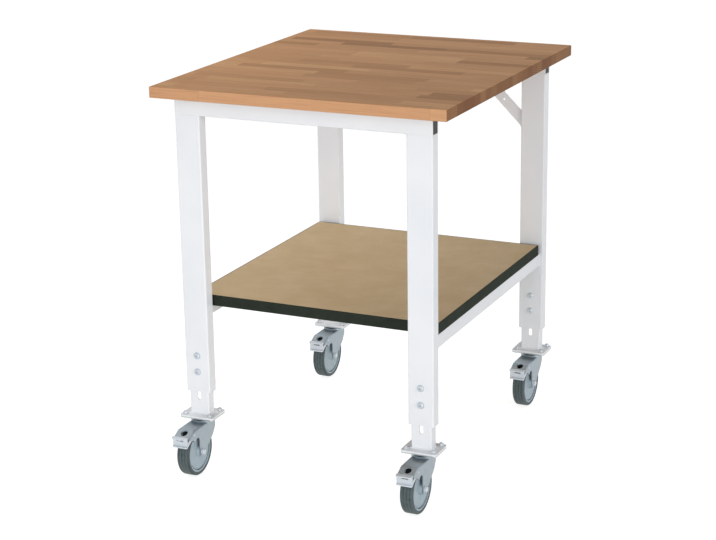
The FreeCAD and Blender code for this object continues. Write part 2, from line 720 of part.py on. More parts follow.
def build_wheel_core(name):
    """A moulded wheel body: hub, smooth disc, a groove round it and a raised rim."""
    body = new_body(name)
    hub = "(fork_inner / 2 - hub_gap)"
    rim_out = f"({WHEEL_RADIUS} - tyre_thickness)"
    rim_in = f"({rim_out} - rim_thickness)"
    disc_edge = f"({rim_in} - groove_width)"
    floor = "(disc_width / 2 - groove_depth)"
    half = [(hub, "sleeve_diameter / 2 + running_fit"), (hub, "hub_diameter / 2 - hub_taper"),
            ("disc_width / 2", "hub_diameter / 2"), ("disc_width / 2", disc_edge), (floor, disc_edge),
            (floor, rim_in), ("rim_width / 2", rim_in), ("rim_width / 2", rim_out)]
    outline = half + [(f"-{x}", y) for x, y in reversed(half)]
    revolve(body, add_polygon(sketch_on(body, "XY_Plane"), outline), "H_Axis")
    return body


def build_tyre(name):
    """A rubber tread ring with rounded shoulders."""
    body = new_body(name)
    rim_out = f"({WHEEL_RADIUS} - tyre_thickness)"
    outline = add_rectangle(sketch_on(body, "XY_Plane"), "tyre_width", "tyre_thickness",
                            "0", f"({WHEEL_RADIUS} + {rim_out}) / 2")
    revolve(body, outline, "H_Axis")
    tread = number(WHEEL_RADIUS)
    round_edges(body, "tyre_round", lambda edge: isinstance(edge.Curve, Part.Circle)
                and abs(edge.Curve.Radius - tread) < ROUND_TOLERANCE)
    return body


def build_pedal(name):
    """Brake blade in front of the tyre with a step, a slot and a lip, on two ears with the pivot pin."""
    body = new_body(name)
    tip = f"({PEDAL_FRONT} - pedal_step)"
    lip = f"({PEDAL_FRONT} - pedal_lip)"
    tongue = f"({PEDAL_TOP} - pedal_tongue)"
    blade = [(PEDAL_BACK, tongue), (PEDAL_BACK, PEDAL_TOP), (PEDAL_FRONT, PEDAL_TOP),
             (tip, f"{PEDAL_TOP} - pedal_fall"), (tip, f"{PEDAL_TOP} - pedal_fall - pedal_sheet"),
             (PEDAL_FRONT, f"{PEDAL_TOP} - pedal_sheet"), (PEDAL_FRONT, f"{tongue} + pedal_sheet"),
             (lip, f"{tongue} + pedal_sheet"), (lip, tongue)]
    pad(body, add_polygon(sketch_on(body, "YZ_Plane"), blade), "pedal_width", True)
    noses = [number(tip), number(lip)]
    round_edges(body, "pedal_round", lambda edge: runs_along(edge, "z")
                and min(abs(edge.BoundBox.YMin - nose) for nose in noses) < ROUND_TOLERANCE)
    slot = sketch_on(body, "XZ_Plane")
    add_rectangle(slot, "pedal_slot_width", "pedal_slot_height", "0", f"({PEDAL_TOP} - pedal_slot_drop)")
    pocket(body, slot, symmetric=True)
    ear_inner = "(fork_inner / 2 - ear_gap - ear_sheet)"
    back = f"({PIN_Y} + ear_margin)"
    ear = [(back, f"{PIN_Z} - ear_margin"), (back, f"{PIN_Z} + ear_margin"), (PIN_Y, f"{PIN_Z} + ear_margin"),
           (PEDAL_BACK, f"{LIP_Z} - ear_drop"), (PEDAL_BACK, f"{tongue} + ear_rise")]
    for reverse in (False, True):
        offset = f"-{ear_inner}" if reverse else ear_inner
        pad(body, add_polygon(sketch_on(body, "YZ_Plane", offset), ear), "ear_sheet", reverse=reverse)
    pad(body, add_circles(sketch_on(body, "YZ_Plane"), "pedal_pin", [(PIN_Y, PIN_Z)]), FORK_WIDTH, True)
    return body


def build_casters():
    """One telescopic foot with its braked swivel caster under each leg."""
    for corner, (side, end) in CORNERS.items():
        x, y = signed(side, LEG_X), signed(end, LEG_Y)
        for piece, build, height in (("foot_channel", build_foot_channel, FOOT_TOP),
                                     ("swivel_race", build_swivel_race, "0"),
                                     ("caster_fork", build_fork, "0"),
                                     ("brake_pedal", build_pedal, "0")):
            label = f"{piece}_{corner}"
            keep(place(build(label), x, y, height), label)
        for piece, build in (("wheel_core", build_wheel_core), ("tyre", build_tyre)):
            label = f"{piece}_{corner}"
            keep(place(build(label), x, f"{y} - trail", WHEEL_RADIUS), label)
        for piece, thickness, height in (("foot_plate", "foot_plate_sheet", FOOT_PLATE_BOTTOM),
                                         ("caster_plate", "caster_plate_sheet", CASTER_PLATE_BOTTOM)):
            label = f"{piece}_{corner}"
            keep(place(build_plate(label, thickness), x, y, height), label)
        build_caster_bolts(f"caster_bolts_{corner}", x, y)
        build_axle(f"axle_bolt_{corner}", x, y)


def check_model():
    """Stops if any object failed to build or any sub-part has no sound shape."""
    for item in doc.Objects:
        if "Invalid" in item.State or "Error" in item.State:
            raise RuntimeError(f"{item.Label} failed to build")
    for item in nodes:
        if item.Shape.isNull() or not item.Shape.isValid() or not item.Shape.Solids:
            raise RuntimeError(f"{item.Label} has no sound solid")


build_worktop()
build_crossbars()
build_legs()
build_braces()
build_shelf()
build_screws()
build_clamps()
build_casters()
doc.recompute()
check_model()
os.makedirs("parts", exist_ok=True)
for item in nodes:
    item.Shape.exportStep(f"parts/{item.Label}.step")
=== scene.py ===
"""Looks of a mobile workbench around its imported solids.

The solids keep their shapes and places. This script gives each one its finish, adds what is too fine for
them (screws, nuts and bolts, weld beads, brake springs), and stands the bench on a pale floor under soft
light. Lengths are metres and angles radians, unless a name ends in _mm, _px or _deg.
"""
import json
import logging
import math
from abc import ABC, abstractmethod
from dataclasses import dataclass, field, replace
from enum import Enum
from functools import cache
from typing import Any, Sequence

import bmesh
import bpy
from mathutils import Matrix, Vector


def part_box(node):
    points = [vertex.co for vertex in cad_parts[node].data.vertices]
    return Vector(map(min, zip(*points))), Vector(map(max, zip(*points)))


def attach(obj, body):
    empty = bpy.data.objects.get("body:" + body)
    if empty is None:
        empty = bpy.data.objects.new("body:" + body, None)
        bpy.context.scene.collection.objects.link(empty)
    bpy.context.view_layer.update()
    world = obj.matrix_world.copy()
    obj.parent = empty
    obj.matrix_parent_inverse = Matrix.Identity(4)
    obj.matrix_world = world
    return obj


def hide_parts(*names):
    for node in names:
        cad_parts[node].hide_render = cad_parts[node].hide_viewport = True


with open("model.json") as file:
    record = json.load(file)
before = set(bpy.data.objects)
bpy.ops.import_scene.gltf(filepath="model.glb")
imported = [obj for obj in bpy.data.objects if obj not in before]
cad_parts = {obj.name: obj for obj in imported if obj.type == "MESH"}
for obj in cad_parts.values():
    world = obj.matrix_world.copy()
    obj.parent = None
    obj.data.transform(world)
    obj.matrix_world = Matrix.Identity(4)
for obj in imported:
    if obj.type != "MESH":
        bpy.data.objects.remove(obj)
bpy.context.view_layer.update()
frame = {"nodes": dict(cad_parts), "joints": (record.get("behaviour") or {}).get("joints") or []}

Tree = bpy.types.NodeTree
Node = bpy.types.Node
Socket = bpy.types.NodeSocket
Mesh = bpy.types.Mesh
Colour = tuple[float, float, float, float]
# what can feed a node's input
Feed = Node | Socket
# a finish's colour, the pattern of its roughness and the pattern of its relief
Layers = tuple[Feed, Feed, Feed]
# positions along a colour ramp with their sRGB colours
Stops = Sequence[tuple[float, str]]
# the points of each weld in order
Runs = list[list[Vector]]

LOG = logging.getLogger("workbench")
MM = 0.001
QUARTER_TURN = math.pi / 2
IMAGE_WIDTH_PX = 716
SENSOR_WIDTH_MM = 36.0
WHITE = "#ffffff"

# the sRGB curve: a straight toe up to its knee, then a power
SRGB_FULL, SRGB_KNEE, SRGB_TOE, SRGB_OFFSET, SRGB_POWER = 255, 0.04045, 12.92, 0.055, 2.4

# the wave texture's own factor on its scale
WAVE_RATE = 20.0

# inputs of the Mix node in its colour mode
MIX_SHARE, MIX_A, MIX_B = 0, 6, 7

# how finely weld ripples and spring wire are drawn
RIPPLE_SUBDIVISIONS = 2
COIL_STEPS = 24
WIRE_SIDES = 10


class Corner(Enum):
    """The four corners of the bench, each with a leg and a caster."""

    FRONT_LEFT = "front_left"
    FRONT_RIGHT = "front_right"
    REAR_LEFT = "rear_left"
    REAR_RIGHT = "rear_right"

    def node(self, piece: str) -> str:
        """The name of a piece, body or joint at this corner."""
        return f"{piece}_{self.value}"


class Ring(Enum):
    """Outline of one ring of a turned or milled fastener."""

    ROUND = "round"
    HEXAGON = "hexagon"

    def reach(self, size: float, angle: float) -> float:
        """How far the outline lies from the axis.

        Args:
            size: Radius of a round ring, or half the width across flats of a hexagon.
            angle: Angle about the axis.

        Returns:
            The distance from the axis.
        """
        if self is Ring.ROUND:
            return size
        sector = math.pi / 3
        return size / math.cos((angle + sector / 2) % sector - sector / 2)


# a ring's outline, its size and its height on the axis
RingRow = tuple[Ring, float, float]


def linear(code: str) -> Colour:
    """Turns an sRGB colour into linear light.

    Args:
        code: Colour as "#rrggbb".

    Returns:
        Red, green, blue and an alpha of one.
    """
    shares = [int(code[start:start + 2], 16) / SRGB_FULL for start in (1, 3, 5)]
    values = [
        share / SRGB_TOE if share <= SRGB_KNEE else ((share + SRGB_OFFSET) / (1 + SRGB_OFFSET)) ** SRGB_POWER
        for share in shares]
    return (*values, 1.0)


def per_size(size_mm: float) -> float:
    """Texture scale whose features are about this many millimetres across."""
    return 1.0 / (size_mm * MM)


def wave_scale(spacing_mm: float) -> float:
    """Wave texture scale whose crests are this many millimetres apart."""
    return per_size(spacing_mm) * math.tau / WAVE_RATE


def add_node(tree: Tree, kind: str, inputs: dict[Any, Any] | None = None, stops: Stops = (),
             **settings: Any) -> Node:
    """Adds one node with its settings and links.

    Args:
        tree: Tree that takes the node.
        kind: Blender's name for the kind of node.
        inputs: Input names or numbers, each with a value, the output that feeds it, or a node whose first
            output in use feeds it.
        stops: Positions from zero to one with their colours, for a node that has a colour ramp.
        **settings: Properties of the node.

    Returns:
        The new node.
    """
    node = tree.nodes.new(kind)
    for name, value in settings.items():
        setattr(node, name, value)
    for key, value in (inputs or {}).items():
        if isinstance(value, Node):
            value = next(output for output in value.outputs if output.enabled)
        if isinstance(value, Socket):
            tree.links.new(value, node.inputs[key])
        else:
            node.inputs[key].default_value = value
    for index, (position, code) in enumerate(stops):
        elements = node.color_ramp.elements
        element = elements[index] if index < len(elements) else elements.new(1.0)
        element.position = position
        element.color = linear(code)
    return node


@dataclass(frozen=True)
class Pattern:
    """A noise pattern, by the real size of its features and how broken up they are."""

    size_mm: float
    detail: float = 2.0
    roughness: float = 0.5
    distortion: float = 0.0

    def inputs(self, place: Feed) -> dict[str, Any]:
        """Inputs of the noise texture that draws this pattern at a place."""
        return {"Vector": place, "Scale": per_size(self.size_mm), "Detail": self.detail,
                "Roughness": self.roughness, "Distortion": self.distortion}


@dataclass(frozen=True)
class Shading:
    """Tones that one pattern picks from, and shades by which another darkens them."""

    tones: Stops
    shades: Stops
    share: float

    def colour(self, tree: Tree, tone: Feed, pattern: Feed) -> Node:
        """Colours a surface by both patterns.

        Args:
            tree: Tree that takes the nodes.
            tone: The pattern that picks the tone.
            pattern: The pattern that darkens it.

        Returns:
            The node that gives the colour.
        """
        base = add_node(tree, "ShaderNodeValToRGB", {"Fac": tone}, self.tones)
        shade = add_node(tree, "ShaderNodeValToRGB", {"Fac": pattern}, self.shades)
        return add_node(tree, "ShaderNodeMix", {MIX_SHARE: self.share, MIX_A: base, MIX_B: shade},
                        data_type="RGBA", blend_type="MULTIPLY")


@dataclass(frozen=True)
class Overlay:
    """Values of a pattern between which a second colour comes in, and how far it covers the first."""

    start: float
    full: float
    share: float

    def cover(self, tree: Tree, colour: Feed, other: Feed | Colour, pattern: Feed) -> Node:
        """Covers a colour with another one along a pattern.

        Args:
            tree: Tree that takes the nodes.
            colour: The colour underneath.
            other: The colour on top.
            pattern: The pattern that decides where it shows.

        Returns:
            The node that gives the colour.
        """
        share = add_node(tree, "ShaderNodeMapRange", {
            "Value": pattern, "From Min": self.start, "From Max": self.full, "To Max": self.share})
        return add_node(tree, "ShaderNodeMix", {MIX_SHARE: share, MIX_A: colour, MIX_B: other},
                        data_type="RGBA")


@dataclass(frozen=True)
class Skin:
    """How patterns shift the roughness, from their lowest value to their highest, and shape the relief."""

    low_shift: float
    high_shift: float
    strength: float
    depth_mm: float
    lowest: float = 0.0
    highest: float = 1.0


@dataclass(frozen=True, kw_only=True)
class Finish(ABC):
    """One surface finish, which becomes one material."""

    name: str
    roughness: float
    skin: Skin
    metallic: float = 0.0
    specular: float = 0.5
    ior: float = 1.5

    @abstractmethod
    def paint(self, tree: Tree, place: Feed) -> Layers:
        """Adds the finish's patterns.

        Args:
            tree: The material's tree.
            place: Object coordinates in metres.

        Returns:
            The colour, the pattern that moves the roughness, and the one that gives the relief.
        """

    def material(self) -> bpy.types.Material:
        """Makes the finish's material on first use.

        Returns:
            The material.
        """
        known = bpy.data.materials.get(self.name)
        if known:
            return known
        material = bpy.data.materials.new(self.name)
        material.use_nodes = True
        tree = material.node_tree
        tree.nodes.clear()
        colour, gloss, height = self.paint(tree, add_node(tree, "ShaderNodeTexCoord").outputs["Object"])
        skin = self.skin
        roughness = add_node(tree, "ShaderNodeMapRange", {
            "Value": gloss, "From Min": skin.lowest, "From Max": skin.highest,
            "To Min": self.roughness + skin.low_shift, "To Max": self.roughness + skin.high_shift})
        relief = add_node(tree, "ShaderNodeBump", {
            "Height": height, "Strength": skin.strength, "Distance": skin.depth_mm * MM})
        surface = add_node(tree, "ShaderNodeBsdfPrincipled", {
            "Base Color": colour, "Roughness": roughness, "Normal": relief, "Metallic": self.metallic,
            "Specular IOR Level": self.specular, "IOR": self.ior})
        add_node(tree, "ShaderNodeOutputMaterial", {"Surface": surface})
        return material


@dataclass(frozen=True, kw_only=True)
class OiledBeech(Finish):
    """Edge-glued beech staves along X, sanded and oiled: long grain on their sides, rings on their ends."""

    roughness: float = 0.5
    skin: Skin = Skin(0.06, -0.06, strength=0.12, depth_mm=0.2)
    specular: float = 0.07
    stave_width_mm: float = 33.0
    stave_length_mm: float = 270.0
    # a joint lies just in front of the board, so that its front edge is one row of staves
    front_joint_mm: float = 408.0
    # the number of that row picks the chance tones of its staves
    front_row: int = 268
    # the most that chance shifts a row, in staves, and the grain of a stave, in metres
    row_shift: float = 9.0
    grain_shift: float = 0.7
    sides: Shading = Shading(
        tones=((0.0, "#976a3d"), (0.15, "#ab7a4a"), (0.3, "#bb8a5a"), (0.7, "#c49262"), (1.0, "#cc9d6c")),
        shades=((0.28, "#d9cfc6"), (0.5, "#f4efe9"), (0.72, WHITE)), share=0.85)
    grain: Pattern = Pattern(2.4, detail=5.0, distortion=0.35)
    grain_length_mm: float = 120.0
    # the rays of beech are finer than these flecks, which are drawn as coarse as they need to show
    flecks: Pattern = Pattern(1.1, detail=1.0)
    fleck_length_mm: float = 9.0
    fleck_colour: str = "#7d5431"
    fleck_overlay: Overlay = Overlay(0.58, 0.72, share=0.22)
    ends: Shading = Shading(
        tones=((0.0, "#7d5436"), (0.5, "#8c6341"), (1.0, "#99714e")),
        shades=((0.0, "#d9cfc5"), (1.0, WHITE)), share=1.0)
    # the yearly rings of beech lie closer, and are drawn this far apart to show
    ring_spacing_mm: float = 4.2
    ring_wander: float = 2.2
    ring_wander_scale: float = 0.22
    end_overlay: Overlay = Overlay(0.5, 0.8, share=1.0)
    # painted highlight: faces across Y are mixed towards this paler colour, for the stronger light on the
    # front and back edges
    painted_highlight_colour: str = "#efc7b5"
    painted_highlight_overlay: Overlay = Overlay(0.5, 0.8, share=0.16)
    glue_colour: str = "#5e3f26"
    glue_overlay: Overlay = Overlay(0.016, 0.0, share=0.45)

    def paint(self, tree: Tree, place: Feed) -> Layers:
        """Adds the staves with their grain, flecks, rings and glue lines.

        Faces across X show end grain, and faces across Y are painted a little paler than the top: a painted
        highlight for the stronger light on the board's front and back edges.

        Args:
            tree: The material's tree.
            place: Object coordinates in metres.

        Returns:
            The colour, and the long grain for both roughness and relief.
        """
        chance, joint = self.lay_staves(tree, place)
        own_place = add_node(tree, "ShaderNodeVectorMath", {
            0: chance.outputs["Color"], 1: (self.grain_shift,) * 3, 2: place}, operation="MULTIPLY_ADD")
        drawn = []
        for pattern, length_mm in ((self.grain, self.grain_length_mm), (self.flecks, self.fleck_length_mm)):
            stretched = add_node(tree, "ShaderNodeVectorMath", {
                0: own_place, 1: (pattern.size_mm / length_mm, 1.0, 1.0)}, operation="MULTIPLY")
            drawn.append(add_node(tree, "ShaderNodeTexNoise", pattern.inputs(stretched)))
        grain, flecks = drawn
        rings = add_node(tree, "ShaderNodeTexWave", {
            "Vector": own_place, "Scale": wave_scale(self.ring_spacing_mm), "Distortion": self.ring_wander,
            "Detail Scale": self.ring_wander_scale}, wave_type="RINGS", rings_direction="X").outputs["Fac"]
        ends = self.ends.colour(tree, chance, rings)
        wood = self.sides.colour(tree, chance, grain)
        wood = self.fleck_overlay.cover(tree, wood, linear(self.fleck_colour), flecks)
        normal = add_node(tree, "ShaderNodeTexCoord").outputs["Normal"]
        facing = add_node(tree, "ShaderNodeSeparateXYZ", {0: normal}).outputs
        # faces across Y get the painted highlight, faces across X the end grain
        for axis, overlay, other in (("Y", self.painted_highlight_overlay, linear(self.painted_highlight_colour)),
                                     ("X", self.end_overlay, ends)):
            square_on = add_node(tree, "ShaderNodeMath", {0: facing[axis]}, operation="ABSOLUTE")
            wood = overlay.cover(tree, wood, other, square_on)
        return self.glue_overlay.cover(tree, wood, linear(self.glue_colour), joint), grain, grain

    def lay_staves(self, tree: Tree, place: Feed) -> tuple[Node, Node]:
        """Divides the board into rows of staves, each row shifted by chance.

        Only every second joint counts, so that few lines of glue show.

        Args:
            tree: The material's tree.
            place: Object coordinates in metres.

        Returns:
            The chance of each stave, and the distance to the nearest joint that counts, in stave widths.
        """
        axes = add_node(tree, "ShaderNodeSeparateXYZ", {0: place}).outputs
        across = add_node(tree, "ShaderNodeMath", {
            0: axes["Y"], 1: per_size(self.stave_width_mm),
            2: self.front_row + self.front_joint_mm / self.stave_width_mm}, operation="MULTIPLY_ADD")
        row = add_node(tree, "ShaderNodeMath", {0: across}, operation="FLOOR")
        shift = add_node(tree, "ShaderNodeTexWhiteNoise", {"W": row}, noise_dimensions="1D")
        lengths = add_node(tree, "ShaderNodeMath", {0: axes["X"], 1: per_size(self.stave_length_mm)},
                           operation="MULTIPLY")
        along = add_node(tree, "ShaderNodeMath", {0: shift, 1: self.row_shift, 2: lengths},
                         operation="MULTIPLY_ADD")
        stave = add_node(tree, "ShaderNodeMath", {0: along}, operation="FLOOR")
        key = add_node(tree, "ShaderNodeCombineXYZ", {0: row, 1: stave})
        chance = add_node(tree, "ShaderNodeTexWhiteNoise", {"Vector": key}, noise_dimensions="2D")
        from_side, from_end = (add_node(tree, "ShaderNodeMath", {0: count, 1: 1.0}, operation="PINGPONG")
                               for count in (across, along))
        end_in_widths = add_node(tree, "ShaderNodeMath", {
            0: from_end, 1: self.stave_length_mm / self.stave_width_mm}, operation="MULTIPLY")
        joint = add_node(tree, "ShaderNodeMath", {0: from_side, 1: end_in_widths}, operation="MINIMUM")
        return chance, joint


@dataclass(frozen=True, kw_only=True)
class SandedFibreboard(Finish):
    """Medium-density fibreboard, pressed from fibre and sanded: a faint mottle with fine fibre flecks."""

    roughness: float = 0.56
    skin: Skin = Skin(0.06, -0.06, strength=0.08, depth_mm=0.1)
    specular: float = 0.2
    mottle: Pattern = Pattern(55.0, detail=6.0, roughness=0.6)
    # bundles of fibre are finer than this, and are drawn as coarse as they need to show
    fibres: Pattern = Pattern(1.6, detail=3.0)
    board: Shading = Shading(tones=((0.3, "#c1aa82"), (0.7, "#cbb58e")),
                             shades=((0.3, "#dccfc0"), (0.55, WHITE)), share=0.55)

    def paint(self, tree: Tree, place: Feed) -> Layers:
        """Adds the mottle and the flecks of fibre.

        Args:
            tree: The material's tree.
            place: Object coordinates in metres.

        Returns:
            The colour, the mottle for the roughness, and the fibres for the relief.
        """
        mottle = add_node(tree, "ShaderNodeTexNoise", self.mottle.inputs(place))
        fibres = add_node(tree, "ShaderNodeTexNoise", self.fibres.inputs(place))
        return self.board.colour(tree, mottle, fibres), mottle, fibres


@dataclass(frozen=True, kw_only=True)
class EvenFinish(Finish):
    """A finish of one colour, which drifts with a broad pattern over a skin with a fine one."""

    tones: Stops
    broad: Pattern
    fine: Pattern

    def paint(self, tree: Tree, place: Feed) -> Layers:
        """Adds the drift of the colour and the pattern of the skin.

        Args:
            tree: The material's tree.
            place: Object coordinates in metres.

        Returns:
            The colour, and the fine pattern for both roughness and relief.
        """
        drift = add_node(tree, "ShaderNodeTexNoise", self.broad.inputs(place))
        fine = add_node(tree, "ShaderNodeTexNoise", self.fine.inputs(place))
        return add_node(tree, "ShaderNodeValToRGB", {"Fac": drift}, self.tones), fine, fine


@dataclass(frozen=True, kw_only=True)
class PowderCoat(EvenFinish):
    """Polyester powder, sprayed on and baked: the film's tone drifts, and the melt leaves orange peel."""

    roughness: float = 0.4
    skin: Skin = Skin(-0.06, 0.06, strength=0.1, depth_mm=0.15)
    broad: Pattern = Pattern(180.0, detail=3.0)
    fine: Pattern = Pattern(1.8)


BATH_CLOUDS = Pattern(14.0, detail=4.0, distortion=0.6)


@dataclass(frozen=True, kw_only=True)
class TreatedSteel(EvenFinish):
    """Steel, zinc-plated or blackened in a bath: cloudy tints over a matt grain."""

    skin: Skin = Skin(-0.08, 0.1, strength=0.12, depth_mm=0.08, lowest=0.3, highest=0.7)
    metallic: float = 1.0
    broad: Pattern = BATH_CLOUDS
    # the grain of such a coat is finer than this, and is drawn as coarse as it needs to show
    fine: Pattern = Pattern(1.3, detail=3.0)


MELT_FLOW = Pattern(30.0, detail=3.0, distortion=0.8)


@dataclass(frozen=True, kw_only=True)
class MouldedPlastic(EvenFinish):
    """Moulded or extruded polymer: a faint mottle from the melt's flow and the fine grain of the tool."""

    roughness: float = 0.55
    skin: Skin = Skin(-0.06, 0.06, strength=0.15, depth_mm=0.06)
    broad: Pattern = MELT_FLOW
    # the tool's grain is finer than this, and is drawn as coarse as it needs to show
    fine: Pattern = Pattern(0.9)


@dataclass(frozen=True, kw_only=True)
class TreadRubber(Finish):
    """Thermoplastic rubber, moulded and worn: dusty scuffs, with shallow lines round the tread."""

    roughness: float = 0.55
    skin: Skin = Skin(-0.1, 0.12, strength=0.4, depth_mm=0.25)
    tones: Stops = ((0.35, "#1e282a"), (0.75, "#485557"))
    scuffs: Pattern = Pattern(7.0, detail=6.0, roughness=0.65)
    # the tread's lines lie closer, and are drawn this far apart to show
    line_spacing_mm: float = 7.5
    line_dust: float = 0.3

    def paint(self, tree: Tree, place: Feed) -> Layers:
        """Adds dust, scuffs and the lines round the tread.

        Args:
            tree: The material's tree.
            place: Object coordinates in metres.

        Returns:
            The colour, the scuffs for the roughness, and the lines for the relief.
        """
        scuffs = add_node(tree, "ShaderNodeTexNoise", self.scuffs.inputs(place))
        lines = add_node(tree, "ShaderNodeTexWave", {
            "Vector": place, "Scale": wave_scale(self.line_spacing_mm)},
            wave_type="BANDS", bands_direction="X").outputs["Fac"]
        dust = add_node(tree, "ShaderNodeMath", {0: lines, 1: self.line_dust, 2: scuffs},
                        operation="MULTIPLY_ADD")
        return add_node(tree, "ShaderNodeValToRGB", {"Fac": dust}, self.tones), scuffs, lines


# warm tan staves, each with a tone of its own, under a dull sheen of oil
BEECH = OiledBeech(name="oiled_beech_staves")
# dry, even tan with a faint mottle
FIBREBOARD = SandedFibreboard(name="sanded_fibreboard")
# clean satin white whose highlights are soft at their edges
WHITE_COAT = PowderCoat(name="white_powder_coat", tones=((0.3, "#dcdfe3"), (0.7, "#e3e5e8")))
# a dark, dull line round the shelf, with hardly any shine
EDGE_BAND = MouldedPlastic(
    name="black_abs_edge_band", tones=((0.3, "#292f28"), (0.7, "#2f352e")), specular=0.02)
# near black and half matt
BLACK_PLUG = MouldedPlastic(name="black_polyethylene_plug", tones=((0.3, "#1c1e20"), (0.7, "#25282a")))
# soft blue-grey metal with blurred reflections
FORK_ZINC = TreatedSteel(
    name="zinc_plated_pressing", tones=((0.35, "#9eacb6"), (0.7, "#abb1b3")), roughness=0.48)
# pale plating whose clouded film scatters half of the light, so that it stays bright on every side
BRIGHT_ZINC = TreatedSteel(
    name="bright_zinc_plated_steel", tones=((0.35, "#c4cdd6"), (0.7, "#cdd1d4")), roughness=0.46,
    metallic=0.5, broad=replace(BATH_CLOUDS, size_mm=9.0))
# silvery plating with clearer highlights
SCREW_ZINC = TreatedSteel(
    name="zinc_plated_screw", tones=((0.35, "#bcc4ca"), (0.7, "#c8c8c2")), roughness=0.34,
    broad=replace(BATH_CLOUDS, size_mm=5.0))
# dark wire that catches thin highlights; its near-black is the wire's blackened finish and also painted
# shade inside the fender's window
SPRING_BLACK_AS_SHADE = TreatedSteel(
    name="blackened_spring_wire_and_painted_shade", tones=((0.35, "#23282b"), (0.7, "#2f3436")), roughness=0.4,
    broad=replace(BATH_CLOUDS, size_mm=5.0))
# pale blue-grey with a waxy shine
WHEEL_GREY = MouldedPlastic(
    name="grey_polypropylene_wheel", tones=((0.3, "#98a8b1"), (0.7, "#a3b2ba")), roughness=0.5,
    broad=replace(MELT_FLOW, size_mm=22.0))
# dull dark grey with paler, dusty lines
TYRE_GREY = TreadRubber(name="grey_thermoplastic_rubber")


def add_object(name: str, data: bpy.types.ID) -> bpy.types.Object:
    """Adds an object to the scene.

    Args:
        name: The object's name.
        data: Its mesh, lamp or camera.

    Returns:
        The new object.
    """
    new = bpy.data.objects.new(name, data)
    bpy.context.scene.collection.objects.link(new)
    return new


def settle(name: str, mesh: Mesh, body: str, slot: str, *stands_for: str) -> None:
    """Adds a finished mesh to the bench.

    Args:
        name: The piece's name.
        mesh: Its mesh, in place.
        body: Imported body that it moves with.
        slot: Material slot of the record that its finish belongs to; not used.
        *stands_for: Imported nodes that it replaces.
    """
    piece = add_object(name, mesh)
    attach(piece, body)
    if stands_for:
        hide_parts(*stands_for)
    LOG.info("%s rides on %s with %d faces", name, body, len(mesh.polygons))


def dress(node: str, finish: Finish) -> None:
    """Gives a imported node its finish.

    Args:
        node: The node's name.
        finish: The finish that it gets.
    """
    slots = frame["nodes"][node].data.materials
    slots.clear()
    slots.append(finish.material())
    LOG.info("%s is finished in %s", node, finish.name)


def middle(node: str) -> Vector:
    """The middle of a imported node's box."""
    low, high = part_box(node)
    return (low + high) / 2


@dataclass
class RingStack:
    """A fastener built up from rings of points about its axis, which is Z."""

    steps: int = 36
    sharp_edge_deg: float = 28.0
    cells: bmesh.types.BMesh = field(default_factory=bmesh.new)

    def barrel(self, radius: float, start: float, end: float) -> None:
        """Adds a plain round barrel."""
        self.shell([(Ring.ROUND, radius, start), (Ring.ROUND, radius, end)])

    def shell(self, rings: Sequence[RingRow]) -> None:
        """Skins rings into a closed shell with flat ends.

        Args:
            rings: Outline, size and height of each ring, in the order in which they are joined.
        """
        loops = []
        for shape, size, height in rings:
            loop = []
            for step in range(self.steps):
                angle = math.tau * step / self.steps
                reach = shape.reach(size, angle)
                loop.append(self.cells.verts.new((reach * math.cos(angle), reach * math.sin(angle), height)))
            loops.append(loop)
        for lower, upper in zip(loops, loops[1:]):
            for step in range(self.steps):
                ahead = (step + 1) % self.steps
                self.cells.faces.new((lower[step], lower[ahead], upper[ahead], upper[step]))
        self.cells.faces.new(list(reversed(loops[0])))
        self.cells.faces.new(loops[-1])

    def mesh(self, name: str, turn: Matrix | None = None) -> Mesh:
        """Ends the fastener as a mesh with flat flanks and round barrels.

        Args:
            name: The mesh's name.
            turn: Matrix that moves and turns the mesh into place.

        Returns:
            The mesh.
        """
        bmesh.ops.recalc_face_normals(self.cells, faces=self.cells.faces)
        for edge in self.cells.edges:
            edge.smooth = edge.is_manifold and edge.calc_face_angle() < math.radians(self.sharp_edge_deg)
        for face in self.cells.faces:
            face.smooth = True
        mesh = bpy.data.meshes.new(name)
        self.cells.to_mesh(mesh)
        self.cells.free()
        if turn:
            mesh.transform(turn)
        return mesh


def new_tree(name: str, sockets: dict[str, str]) -> tuple[Tree, dict[str, Socket]]:
    """Starts a Geometry Nodes tree with named inputs and one geometry output.

    Args:
        name: The tree's name.
        sockets: Names of the inputs after the geometry, with their types.

    Returns:
        The tree, and its inputs by name.
    """
    tree = bpy.data.node_groups.new(name, "GeometryNodeTree")
    for label, kind in ({"Geometry": "Geometry"} | sockets).items():
        tree.interface.new_socket(label, in_out="INPUT", socket_type=f"NodeSocket{kind}")
    tree.interface.new_socket("Geometry", in_out="OUTPUT", socket_type="NodeSocketGeometry")
    given = add_node(tree, "NodeGroupInput").outputs
    return tree, {label: given[label] for label in ("Geometry", *sockets)}


def end_tree(tree: Tree, shape: Feed, finish: Feed) -> None:
    """Ends a tree in plain geometry with one material.

    Args:
        tree: The tree.
        shape: Instances or geometry to turn into a plain mesh.
        finish: The material input.
    """
    plain = add_node(tree, "GeometryNodeRealizeInstances", {"Geometry": shape})
    painted = add_node(tree, "GeometryNodeSetMaterial", {"Geometry": plain, "Material": finish})
    add_node(tree, "NodeGroupOutput", {"Geometry": painted})


@cache
def fastener_tree() -> Tree:
    """Stands one fastener on every point, each turned by chance about its own axis.

    Returns:
        The tree, built on first use.
    """
    tree, given = new_tree("Fasteners on points", {
        "Fastener": "Object", "Turn Axis": "Vector", "Seed": "Int", "Finish": "Material"})
    source = add_node(tree, "GeometryNodeObjectInfo", {"Object": given["Fastener"]})
    angle = add_node(tree, "FunctionNodeRandomValue", {"Min": 0.0, "Max": math.tau, "Seed": given["Seed"]},
                     data_type="FLOAT")
    turn = add_node(tree, "FunctionNodeAxisAngleToRotation", {"Axis": given["Turn Axis"], "Angle": angle})
    placed = add_node(tree, "GeometryNodeInstanceOnPoints", {
        "Points": given["Geometry"], "Instance": source.outputs["Geometry"], "Rotation": turn})
    end_tree(tree, placed, given["Finish"])
    return tree


